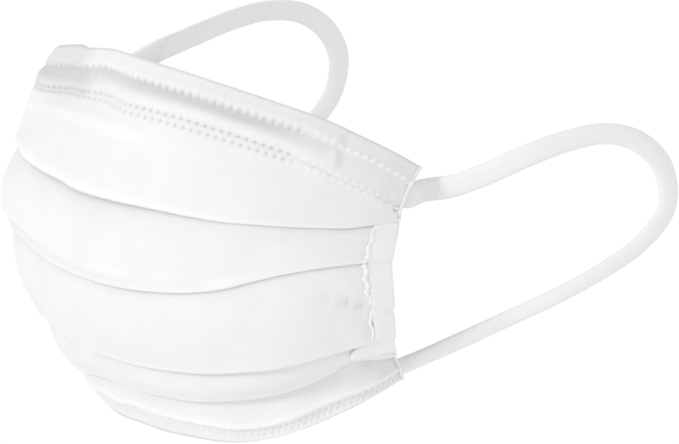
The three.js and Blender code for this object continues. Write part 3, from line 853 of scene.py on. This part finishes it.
def strapPiece(name, node, side, route):
    # the band's section is a blunt oval with a knitted surface: cosine and sine of the angle, raised to a
    # power with their sign kept, times half its width and thickness; it is carried along the curve
    def welded(tab):
        return place(side * (1 - tab["inward"] / form["halfRow"]), tab["along"], -tab["depth"])

    def blunt(wave, power):
        return np.abs(wave) ** power * np.sign(wave)

    free = np.stack([side * route["out"], route["back"], route["up"]], -1)
    points = np.vstack([welded(topTabs[side]), free, welded(bottomTab)])
    widths = np.concatenate([[route["width"][0]] * 3, route["width"], [route["width"][-1]] * 3])
    fine = splineThrough(np.column_stack([points, widths]), np.linspace(0, 1, strap["fineSteps"]))
    run = np.concatenate([[0], np.cumsum(np.linalg.norm(np.diff(fine[:, :3], axis=0), axis=1))])
    s = np.linspace(0, run[-1], int(run[-1] / strap["step"]))
    middle = np.stack([np.interp(s, run, fine[:, j]) for j in range(3)], -1)
    width = np.interp(s, run, fine[:, 3])[:, None]
    tangent = unit(np.gradient(middle, axis=0))
    flat = unit(np.array([side, 0, 0]) - tangent * side * tangent[:, :1])
    broad = np.cross(tangent, flat)
    angle = np.linspace(0, 2 * math.pi, strap["sides"], endpoint=False)[None, :]
    stitch = np.cos(2 * math.pi * s[:, None] / strap["stitch"]) * np.cos(strap["wales"] * angle)
    stitch = 1 + strap["ridge"] * stitch
    x = blunt(np.cos(angle), strap["flatness"]) * stitch * width / 2
    y = blunt(np.sin(angle), strap["roundness"]) * stitch * strap["thickness"] / 2
    rings = middle[:, None] + broad[:, None] * x[..., None] + flat[:, None] * y[..., None]
    columnCount = strap["sides"] + 1
    girth = np.linspace(0, strap["mapWidth"], columnCount)
    uv = np.stack([s[:, None] + np.zeros((1, columnCount)), girth + 0 * s[:, None]], -1) * mm
    return declare(closedTube(name, rings[:, ::-1], uv), "band", node)


earLoops = [
    strapPiece("left_ear_loop_band", "ear_loop_left", 1, leftRoute),
    strapPiece("right_ear_loop_band", "ear_loop_right", -1, rightRoute),
]
print("ear loops run")


# Materials: shader maths is written as expressions on wrapped sockets.
class Term:
    def __init__(self, maker, socket):
        self.maker, self.socket = maker, socket

    def math(self, operation, a, b):
        return self.maker.node("ShaderNodeMath", {"operation": operation}, {0: a, 1: b})

    def __add__(self, other):
        return self.math("ADD", self, other)

    def __mul__(self, other):
        return self.math("MULTIPLY", self, other)

    def __sub__(self, other):
        return self.math("SUBTRACT", self, other)

    def __rsub__(self, other):
        return self.math("SUBTRACT", other, self)

    def __pow__(self, other):
        return self.math("POWER", self, other)

    __radd__, __rmul__ = __add__, __mul__

    def sine(self):
        return self.maker.node("ShaderNodeMath", {"operation": "SINE"}, {0: self})

    def size(self):
        return self.maker.node("ShaderNodeMath", {"operation": "ABSOLUTE"}, {0: self})


class Maker:
    def __init__(self, name):
        self.material = bpy.data.materials.new(name)
        self.material.use_nodes = True
        self.tree = self.material.node_tree
        self.shader = self.tree.nodes["Principled BSDF"]

    def put(self, socket, value):
        if isinstance(value, Term):
            self.tree.links.new(value.socket, socket)
        else:
            socket.default_value = value

    def node(self, kind, settings, inputs, output=0):
        made = self.tree.nodes.new(kind)
        for key, value in settings.items():
            setattr(made, key, value)
        for key, value in inputs.items():
            self.put(made.inputs[key], value)
        return Term(self, made.outputs[output])

    def objectPlace(self):
        return self.node("ShaderNodeTexCoord", {}, {}, "Object")

    def mapPlace(self):
        both = self.node("ShaderNodeUVMap", {"uv_map": "cloth"}, {})
        apart = self.node("ShaderNodeSeparateXYZ", {}, {0: both})
        return apart, Term(self, apart.socket.node.outputs["Y"])

    def noise(self, size, detail, roughness):
        inputs = {"Vector": self.objectPlace(), "Scale": 1 / (size * mm)}
        inputs.update({"Detail": detail, "Roughness": roughness})
        return self.node("ShaderNodeTexNoise", {}, inputs, "Fac")

    def mix(self, factor, a, b):
        made = self.node("ShaderNodeMix", {"data_type": "RGBA"}, {"Factor": factor}, 2)
        self.put(made.socket.node.inputs[6], a)
        self.put(made.socket.node.inputs[7], b)
        return made

    def bump(self, height, strength, distance):
        inputs = {"Height": height, "Strength": strength, "Distance": distance * mm}
        return self.node("ShaderNodeBump", {}, inputs)

    def finish(self, pieces, color, roughness, normal, sheen):
        self.put(self.shader.inputs["Base Color"], color)
        self.put(self.shader.inputs["Roughness"], roughness)
        self.put(self.shader.inputs["Normal"], normal)
        self.shader.inputs["Sheen Weight"].default_value = sheen
        self.shader.inputs["Specular IOR Level"].default_value = 0.25
        for piece in pieces:
            piece.data.materials.append(self.material)


# Sizes in the finishes are millimetres. shaded, crest: the colours of the painted shade at a shade of 1 and
# of the painted highlight at -1.
clothFinish = dict(light=(0.675, 0.674, 0.671, 1), dark=(0.64, 0.639, 0.637, 1),
                   shaded=(0.48, 0.48, 0.478, 1), crest=(0.79, 0.79, 0.788, 1))
tapeFinish = dict(light=(0.705, 0.708, 0.715, 1), dark=(0.675, 0.678, 0.685, 1),
                  shaded=(0.5, 0.5, 0.51, 1), crest=(0.79, 0.79, 0.79, 1))
fleeceSet = dict(fibre=0.28, cloud=9.0, dotPitch=0.85, dotDepth=0.18, roughness=0.82, fibreRoughness=0.12,
                 bump=0.35, bumpDistance=0.09, sheen=0.1)


def fleece(name, pieces, finish):
    # non-woven cloth: long fibres, a fine grid of bonding points and faint clouds of denser fibre
    m = Maker(name)
    s, q = m.mapPlace()
    turns = 2 * math.pi / (fleeceSet["dotPitch"] * mm)
    points = (s * turns).sine() * (q * turns).sine()
    fibres = m.noise(fleeceSet["fibre"], 4.0, 0.65)
    cloud = m.noise(fleeceSet["cloud"], 3.0, 0.6)
    tone = (cloud - 0.35) * 1.6 + (fibres - 0.5) * 0.5
    # painted shade: the shade attribute darkens the colour towards shaded, and below 0 paints a highlight
    # towards crest
    shade = m.node("ShaderNodeAttribute", {"attribute_name": "shade"}, {}, "Fac")
    color = m.mix(shade, m.mix(tone, finish["dark"], finish["light"]), finish["shaded"])
    color = m.mix(0 - shade, color, finish["crest"])
    height = fibres + points * fleeceSet["dotDepth"]
    normal = m.bump(height, fleeceSet["bump"], fleeceSet["bumpDistance"])
    roughness = fleeceSet["roughness"] + fibres * fleeceSet["fibreRoughness"]
    m.finish(pieces, color, roughness, normal, fleeceSet["sheen"])


knitFinish = dict(light=(0.69, 0.69, 0.69, 1), dark=(0.645, 0.645, 0.648, 1), stitch=1.1, wale=0.85,
                  slant=2.2, fuzz=0.25, fuzzDepth=0.8, roughness=0.9, bump=0.3, bumpDistance=0.1, sheen=0.3)


def knit(name, pieces):
    # a soft knitted band: slanted stitches in rows round it, with fuzz
    m = Maker(name)
    s, w = m.mapPlace()
    wale = (w * (math.pi / (knitFinish["wale"] * mm))).sine().size()
    slanted = s * (2 * math.pi / (knitFinish["stitch"] * mm)) + wale * knitFinish["slant"]
    stitch = slanted.sine() * 0.5 + 0.5
    fuzz = m.noise(knitFinish["fuzz"], 4.0, 0.7)
    height = stitch * wale ** 0.5 + fuzz * knitFinish["fuzzDepth"]
    # darker where the stitches are low: painted shade in the gaps between stitches and ribs, with the fuzz's
    # random tone
    color = m.mix(0.35 + height * 0.4, knitFinish["dark"], knitFinish["light"])
    normal = m.bump(height, knitFinish["bump"], knitFinish["bumpDistance"])
    m.finish(pieces, color, knitFinish["roughness"], normal, knitFinish["sheen"])


wireFinish = dict(light=(0.86, 0.86, 0.86, 1), dark=(0.78, 0.78, 0.78, 1), grain=0.8, roughness=0.4,
                  grainRoughness=0.1, bump=0.2, bumpDistance=0.03)


def wirePlastic(name, piece):
    # thin white plastic over the wire, faintly uneven
    m = Maker(name)
    grain = m.noise(wireFinish["grain"], 2.0, 0.5)
    color = m.mix(grain, wireFinish["dark"], wireFinish["light"])
    roughness = wireFinish["roughness"] + grain * wireFinish["grainRoughness"]
    m.finish([], color, roughness, m.bump(grain, wireFinish["bump"], wireFinish["bumpDistance"]), 0)
    for slot in piece.material_slots:
        slot.material = m.material


fleece("cloth_white", [pleatedCloth, *hems], clothFinish)
fleece("edge_tape_white", [*strips, *seams], tapeFinish)
knit("loop_knit_white", earLoops)
wirePlastic("wire_cover_white", bpy.data.objects["nose_wire"])
print("materials made")
